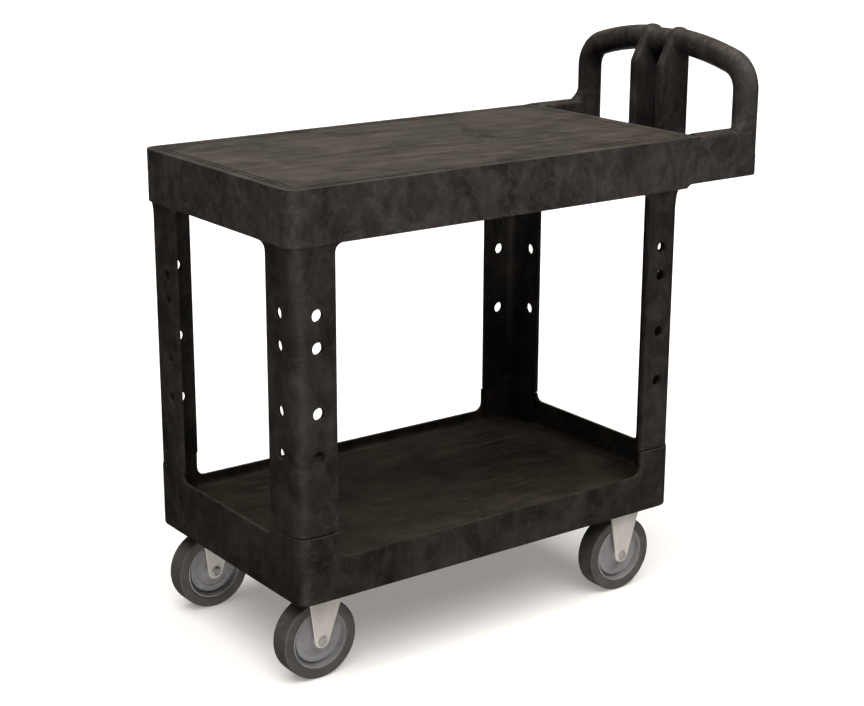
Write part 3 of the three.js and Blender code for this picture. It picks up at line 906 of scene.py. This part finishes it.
def angle_outline(x0, y0, length_x, length_y, wall, corner, flare=0.0, grow=0.0):
    """An angle's outline; flare moves its end face out, grow lengthens both flanges."""
    points = []
    steps = 8
    for i, (x, y) in enumerate(arc(x0 + corner, y0 + corner, corner, 180, 270, steps)):
        points.append((x - flare * (1 - i / steps), y))
    points.append((x0 + length_x + grow, y0))
    points.append((x0 + length_x + grow, y0 + wall))
    points += arc(x0 + corner, y0 + corner, corner - wall, 270, 180, steps)
    points.append((x0 + wall, y0 + length_y + grow))
    points.append((x0 - flare, y0 + length_y + grow))
    return points


def tongue(x0, y0, corner, levels):
    """The leg's tongue inside a shelf: levels give (z, setback of its edges, thickness)."""
    rings = []
    for z, setback, thick in levels:
        outline = angle_outline(
            x0, y0, LEG_FLANGE_X - setback - x0, LEG_FLANGE_Y - setback - y0, thick, corner
        )
        rings.append((z, outline))
    return loft("tongue", rings, "Z")


def leg_blank(run, rise, beyond):
    """The leg in its own frame, with its outer corner on the z axis and its flare as given."""
    bottom = POST_TOP + SEAM
    top = SKIRT_BOTTOM - GAP
    start = top + beyond - rise
    levels = [(bottom, 0.0, 0.0)]
    steps = 16
    for i in range(steps + 1):
        z = start + (top - start) * i / steps
        climb = (z - start) / rise
        flare = run * (1 - math.sqrt(max(1 - climb**2, 0.0)))
        ahead = max(z - (top - LEG_FILLET), 0.0)
        grow = LEG_FILLET - math.sqrt(max(LEG_FILLET**2 - ahead**2, 0.0))
        levels.append((z, flare, min(grow, LEG_FILLET - 1)))
    rings = [
        (z, angle_outline(0, 0, LEG_FLANGE_X, LEG_FLANGE_Y, LEG_WALL, LEG_CORNER, flare, grow))
        for z, flare, grow in levels
    ]
    return loft("leg", rings, "Z")


def leg(name, holes):
    """One leg, built with its outer corner on the z axis and then turned into its place."""
    body = leg_blank(*LEG_FLARES[name.split("_")[0]])
    reach = LEG_WALL + 8
    side_at, side_heights = holes["side"]
    end_at, end_heights = holes["end"]
    bores = [cylinder(HOLE_RADIUS, -3, reach, "Y", (side_at, z)) for z in side_heights]
    bores += [cylinder(HOLE_RADIUS, -3, reach, "X", (end_at, z)) for z in end_heights]
    inside_round = CORNER - WALL
    inset_deck = LEG_HALF - (DECK_HALF - WALL) + GAP
    inset_x = TRAY_LEFT + WALL + GAP + LEG_END
    inset_y = LEG_HALF - (TRAY_HALF - WALL) + GAP
    upper_levels = [
        (SKIRT_BOTTOM - 40, TONGUE_SETBACK, TONGUE),
        (TONGUE_TOP, TONGUE_SETBACK, TONGUE),
    ]
    foot = TRAY_FLOOR + GAP
    lower_levels = [
        (foot, 5.0, TONGUE),
        (POST_TOP - 2, 4.0, TONGUE),
        (POST_TOP + 30, 3.0, LEG_WALL - inset_x),
        (POST_TOP + 40, 3.0, LEG_WALL - inset_x - 0.5),
    ]
    join(
        body,
        tongue(1, inset_deck, inside_round, upper_levels),
        tongue(inset_x, inset_y, inside_round, lower_levels),
    )
    cut(body, *bores)
    soften(body, 0.7, 3)
    at_left = name.startswith("left")
    at_front = name.endswith("front")
    mesh = body.data
    mesh.transform(Matrix.Diagonal((1 if at_left else -1, 1 if at_front else -1, 1, 1)))
    if at_left != at_front:
        mesh.flip_normals()
    x = -LEG_END if at_left else LEG_END + TRAY_LEFT + TRAY_RIGHT
    y = -LEG_HALF if at_front else LEG_HALF
    mesh.transform(Matrix.Translation((mm(x), mm(y), 0)))
    body.name = f"leg_moulding_{name}"
    return dress(shade(body), leg_plastic, "frame", "black_plastic", f"leg_{name}")


# ---------------------------------------------------------------------------------------------
# Casters
# ---------------------------------------------------------------------------------------------


def shift(piece, x, y, z=0.0):
    piece.data.transform(Matrix.Translation((mm(x), mm(y), mm(z))))
    return piece


def tyre(x, y):
    shoulder = 3.0
    profile = [(TYRE_SEAT, -WHEEL_HALF + 1.4), (TYRE_SEAT + 1.2, -WHEEL_HALF + 0.5)]
    profile += [(TYRE_SEAT + 3, -WHEEL_HALF), (56, -WHEEL_HALF)]
    profile += arc(WHEEL_RADIUS - 0.3 - shoulder, -WHEEL_HALF + shoulder, shoulder, 270, 360, 5)
    profile.append((WHEEL_RADIUS, -5))
    other = [(r, -p) for r, p in reversed(profile)]
    return turned("tyre", profile + other, "Y", (x, y, WHEEL_RADIUS))


def hub(x, y):
    rim = TYRE_SEAT - GAP
    rim_half = WHEEL_HALF - 0.7
    face = [
        (7.4, -HUB_BOSS_HALF),
        (12.6, -HUB_BOSS_HALF),
        (13.8, -HUB_BOSS_HALF + 0.8),
        (14.6, -HUB_BOSS_HALF + 2.6),
        (15.8, -11.6),
        (17.2, -10.4),
        (27.4, -10.0),
        (28.0, -10.9),
        (30.0, -10.9),
        (30.6, -10.0),
        (36.6, -9.6),
        (38.4, -8.8),
        (39.4, -5.6),
        (40.2, -4.8),
        (43.0, -4.8),
        (43.8, -5.6),
        (44.3, -rim_half + 0.6),
        (44.8, -rim_half),
        (46.0, -rim_half),
        (rim, -rim_half + 0.7),
    ]
    other = [(r, -p) for r, p in reversed(face)]
    return turned("hub", face + other, "Y", (x, y, WHEEL_RADIUS))


def fork_outline(left, right, top):
    """A fork's side in (x, z) about the axle, wide above and round below."""
    return [(left, top)] + arc(0, WHEEL_RADIUS, FORK_END, 188, 338, 18) + [(right, top)]


def fork_side(left, right, top, side):
    y0, y1 = sorted((side * FORK_INNER, side * (FORK_INNER + FORK_STEEL)))
    return prism(fork_outline(left, right, top), y0, y1, "Y", "fork_side")


def plate_blank():
    outline = rounded_rect(
        -PLATE_HALF_LENGTH, PLATE_HALF_LENGTH, -PLATE_HALF_WIDTH, PLATE_HALF_WIDTH, 6, 6
    )
    return prism(outline, PLATE_BOTTOM, PLATE_TOP, name="plate")


def plate_holes():
    places = [(i * PLATE_HOLE_X, j * PLATE_HOLE_Y) for i in (-1, 1) for j in (-1, 1)]
    return [
        cylinder(PLATE_BORE, PLATE_BOTTOM - 3, PLATE_TOP + 3, "Z", place, 24) for place in places
    ]


def rigid_bracket(name, x, y):
    """The bracket in the frame of its axle, with its plate set ahead of it."""
    bracket = shift(cut(plate_blank(), *plate_holes()), RIGID_TRAIL, 0)
    join(bracket, *[fork_side(*RIGID_SPREAD, PLATE_BOTTOM + 1, side) for side in (-1, 1)])
    cut(bracket, cylinder(AXLE_BORE, -40, 40, "Y", (0, WHEEL_RADIUS), 32))
    soften(bracket, 0.7, 3)
    bracket.name = f"bracket_pressing_{name}"
    shift(bracket, x, y)
    return dress(bracket, zinc, "frame", "zinc_plate", f"rigid_bracket_{name}")


def swivel_fork(name, x, y):
    """The fork in the frame of its axle, with its crown set ahead of it."""
    crown = cylinder(CROWN_RADIUS, CROWN_BOTTOM, CROWN_TOP, "Z", (SWIVEL_TRAIL, 0), 64)
    left, right = SWIVEL_SPREAD
    bridge = block(left + 1, right - 1, -FORK_INNER - 1, FORK_INNER + 1, CROWN_BOTTOM, CROWN_TOP)
    sides = [fork_side(left, right, CROWN_TOP, side) for side in (-1, 1)]
    join(crown, bridge, *sides)
    cut(
        crown,
        cylinder(CROWN_BORE, CROWN_BOTTOM - 3, CROWN_TOP + 3, "Z", (SWIVEL_TRAIL, 0), 32),
        cylinder(AXLE_BORE, -40, 40, "Y", (0, WHEEL_RADIUS), 32),
    )
    soften(crown, 0.8, 3)
    crown.name = f"fork_pressing_{name}"
    shift(crown, x, y)
    return dress(crown, zinc, f"swivel_{name}", "zinc_plate", f"swivel_fork_{name}")


def swivel_head(name, x, y):
    """The swivel caster's top plate with the pressed cup of its upper race."""
    profile = [
        (KINGPIN_BORE, 147.4),
        (20, 147.2),
        (26, 147.0),
        (28.5, 147.4),
        (29.7, 148.6),
        (30, 150.2),
        (29.7, 151.8),
        (28.6, 153.0),
        (27, 154.2),
        (KINGPIN_BORE, 154.2),
    ]
    cup = turned("cup", profile, "Z", (0, 0, 0), 64)
    plate = plate_blank()
    cut(
        plate,
        *plate_holes(),
        cylinder(KINGPIN_SINK, PLATE_TOP - 1.9, PLATE_TOP + 2, "Z", (0, 0), 32),
        cylinder(KINGPIN_BORE, 140, 170, "Z", (0, 0), 32),
    )
    soften(plate, 0.6, 3)
    head = merge(f"swivel_head_{name}", [plate, cup])
    shift(head, x, y)
    return dress(head, zinc, "frame", "zinc_plate", f"swivel_plate_{name}")


def hex_outline(across_flats):
    return arc(0, 0, across_flats / math.sqrt(3), 0, 360, 6)[:-1]


def hex_piece(across_flats, lo, hi, axis, chamfer_low, chamfer_high):
    """A hexagon with its corners turned off at one or both faces."""
    body = prism(hex_outline(across_flats), lo, hi, axis, "hex")
    flat = across_flats / 2 - 0.3
    corner = across_flats / math.sqrt(3) + 0.3
    drop = (corner - flat) * 0.5
    rings = []
    low_radius = flat if chamfer_low else corner
    high_radius = flat if chamfer_high else corner
    levels = [(lo, low_radius), (lo + drop, corner), (hi - drop, corner), (hi, high_radius)]
    for place, radius in levels:
        rings.append((place, arc(0, 0, radius, 0, 360, 48)[:-1]))
    cone = loft("cone", rings, axis)
    combine(body, [cone], "INTERSECT")
    return body


def axle_fasteners(name, body, x, y):
    """Bolt, washer faces and lock nut through one wheel, in the frame of its axle."""
    face = FORK_INNER + FORK_STEEL + GAP
    head = hex_piece(AXLE_HEAD_FLATS, -face - 4.2, -face - 1.2, "Y", True, False)
    flange = cylinder(7.6, -face - 1.5, -face, "Y", (0, 0), 40)
    shank = cylinder(3.95, -face - 1, face + 10.2, "Y", (0, 0), 32)
    bolt = join(head, flange, shank)
    cut(bolt, cylinder(2.6, -face - 6, -face - 3.2, "Y", (0, 0), 24))
    soften(bolt, 0.35, 2)
    bolt.name = f"axle_bolt_turned_{name}"
    shift(bolt, x, y, WHEEL_RADIUS)
    dress(bolt, fastener, body, "plated_steel", f"axle_bolt_{name}")

    nut = hex_piece(NUT_FLATS, face, face + 6.4, "Y", False, True)
    cut(nut, cylinder(4.25, face - 2, face + 9, "Y", (0, 0), 32))
    soften(nut, 0.35, 2)
    nut.name = f"axle_nut_turned_{name}"
    shift(nut, x, y, WHEEL_RADIUS)
    dress(nut, fastener, body, "plated_steel", f"axle_nut_{name}")

    reach = FORK_INNER - GAP
    profile = [
        (AXLE_BORE, -reach),
        (6.2, -reach),
        (6.6, -reach + 0.4),
        (6.6, reach - 0.4),
        (6.2, reach),
        (AXLE_BORE, reach),
    ]
    sleeve = turned("sleeve", profile, "Y", (x, y, WHEEL_RADIUS), 48)
    shade(sleeve)
    sleeve.name = f"axle_sleeve_turned_{name}"
    dress(sleeve, fastener, body, "plated_steel", f"axle_sleeve_{name}")


def plate_bolts(name, x, y):
    under = PLATE_BOTTOM - GAP
    order = [(-1, -1), (-1, 1), (1, -1), (1, 1)]
    for number, (i, j) in enumerate(order, 1):
        bolt = hex_piece(PLATE_BOLT_FLATS, under - 5.2, under, "Z", True, False)
        join(bolt, cylinder(3.9, under - 1, under + 18, "Z", (0, 0), 24))
        soften(bolt, 0.35, 2)
        bolt.name = f"plate_bolt_turned_{name}_{number}"
        shift(bolt, x + i * PLATE_HOLE_X, y + j * PLATE_HOLE_Y)
        dress(bolt, fastener, "frame", "plated_steel", f"plate_bolt_{name}_{number}")


def swivel_bearing(name, x, y):
    ring = [(16, 141.4), (24.2, 141.4), (25, 142.2), (25, 145.8), (24.2, 146.6), (16, 146.6)]
    race = turned("race", ring, "Z", (x, y, 0), 64)
    soften(race, 0.3, 2)
    race.name = f"ball_race_turned_{name}"
    dress(race, fastener, "frame", "plated_steel", f"ball_race_{name}")

    nut_top = CROWN_BOTTOM - GAP
    core = 0.01
    profile = [
        (core, nut_top - 4),
        (9.4, nut_top - 4),
        (10.8, nut_top - 2.8),
        (10.8, nut_top),
        (6, nut_top),
        (6, PLATE_TOP - 1.6),
        (9.9, PLATE_TOP - 1.6),
        (9.9, PLATE_TOP),
        (core, PLATE_TOP),
    ]
    pin = turned("pin", profile, "Z", (x, y, 0), 48)
    soften(pin, 0.3, 2)
    pin.name = f"kingpin_turned_{name}"
    dress(pin, fastener, "frame", "plated_steel", f"kingpin_{name}")


def caster(name, plate_x, plate_y):
    rigid = name.startswith("left")
    x = plate_x - (RIGID_TRAIL if rigid else SWIVEL_TRAIL)
    carrier = "frame" if rigid else f"swivel_{name}"
    if rigid:
        rigid_bracket(name, x, plate_y)
    else:
        swivel_head(name, plate_x, plate_y)
        swivel_bearing(name, plate_x, plate_y)
        swivel_fork(name, x, plate_y)
    tread = tyre(x, plate_y)
    tread.name = f"tyre_moulding_{name}"
    shade(tread)
    dress(tread, rubber, f"wheel_{name}", "tyre_rubber", f"tyre_{name}")
    centre = hub(x, plate_y)
    centre.name = f"hub_moulding_{name}"
    shade(centre)
    dress(centre, hub_grey, f"wheel_{name}", "hub_plastic", f"hub_{name}")
    axle_fasteners(name, carrier, x, plate_y)
    plate_bolts(name, plate_x, plate_y)


# ---------------------------------------------------------------------------------------------
# Studio
# ---------------------------------------------------------------------------------------------


def studio_floor():
    bm = bmesh.new()
    bmesh.ops.create_grid(bm, x_segments=8, y_segments=8, size=FLOOR_HALF)
    floor = from_bmesh("studio_floor", bm)
    s = Surface("studio_floor_paint", 0.9)
    tone = s.noise(s.stretched((1, 1, 1)), 3.0, 2.0)
    paint = s.ramp(tone, "Fac", [(0.0, (0.82, 0.79, 0.755)), (1.0, (0.84, 0.81, 0.775))])
    s.colour(paint.outputs["Color"])
    s.shader.inputs["Specular IOR Level"].default_value = 0.1
    s.shader.inputs["Emission Color"].default_value = (1.0, 0.955, 0.925, 1.0)
    s.shader.inputs["Emission Strength"].default_value = 0.27
    floor.data.materials.append(s.material)
    set_back(floor)


def studio_backdrop():
    """A wide white dome round everything, which meets the floor."""
    bm = bmesh.new()
    bmesh.ops.create_uvsphere(bm, u_segments=96, v_segments=48, radius=DOME_RADIUS)
    bmesh.ops.reverse_faces(bm, faces=bm.faces)
    dome = from_bmesh("studio_backdrop", bm)
    s = Surface("studio_backdrop_cloth", 1.0)
    weave = s.noise(s.stretched((1, 1, 1)), 2.0, 2.0)
    cloth = s.ramp(weave, "Fac", [(0.0, (0.9, 0.9, 0.9)), (1.0, (0.94, 0.94, 0.94))])
    s.colour(cloth.outputs["Color"])
    s.shader.inputs["Emission Color"].default_value = (1.0, 1.0, 1.0, 1.0)
    s.shader.inputs["Emission Strength"].default_value = 1.0
    dome.data.materials.append(s.material)
    set_back(dome)


def set_back(piece):
    """Keeps a piece of the studio from shading or colouring the trolley, and lets the lights from
    below it through."""
    piece.visible_diffuse = False
    piece.visible_glossy = False
    piece.visible_shadow = False


def soft_sun(name, towards, energy, spread):
    """A far light in that direction, as wide as spread degrees."""
    data = bpy.data.lights.new(name, "SUN")
    data.energy = energy
    data.angle = math.radians(spread)
    holder = bpy.data.objects.new(name, data)
    holder.rotation_euler = Vector(towards).to_track_quat("Z", "Y").to_euler()
    bpy.context.scene.collection.objects.link(holder)


def studio_light():
    world = bpy.data.worlds.new("studio_world")
    world.use_nodes = True
    sky = world.node_tree.nodes["Background"]
    sky.inputs["Color"].default_value = (1, 1, 1, 1)
    sky.inputs["Strength"].default_value = 0.05
    bpy.context.scene.world = world
    soft_sun("canopy", (-0.1, -0.28, 1.0), 4.7, 76)
    soft_sun("floor_bounce", (-0.42, -0.75, -0.56), 1.9, 46)
    soft_sun("back_fill", (0.5, 0.85, -0.3), 0.8, 46)


def camera():
    azimuth = math.radians(CAMERA_AZIMUTH)
    elevation = math.radians(CAMERA_ELEVATION)
    back = Vector((
        math.sin(azimuth) * math.cos(elevation),
        -math.cos(azimuth) * math.cos(elevation),
        math.sin(elevation),
    ))
    data = bpy.data.cameras.new("studio_camera")
    data.lens = CAMERA_LENS
    data.sensor_width = CAMERA_SENSOR
    holder = bpy.data.objects.new("studio_camera", data)
    holder.location = Vector(CAMERA_AIM) + back * CAMERA_DISTANCE
    tilt = Quaternion(back, math.radians(CAMERA_ROLL))
    holder.rotation_euler = (tilt @ (-back).to_track_quat("-Z", "Y")).to_euler()
    bpy.context.scene.collection.objects.link(holder)
    bpy.context.scene.camera = holder


camera()
studio_floor()
studio_backdrop()
studio_light()
bpy.context.scene.view_settings.view_transform = "Standard"

upper_shelf()
lower_shelf()
for leg_name, leg_holes in LEG_HOLES.items():
    leg(leg_name, leg_holes)
for caster_name, (caster_x, caster_y) in caster_places().items():
    caster(caster_name, caster_x, caster_y)
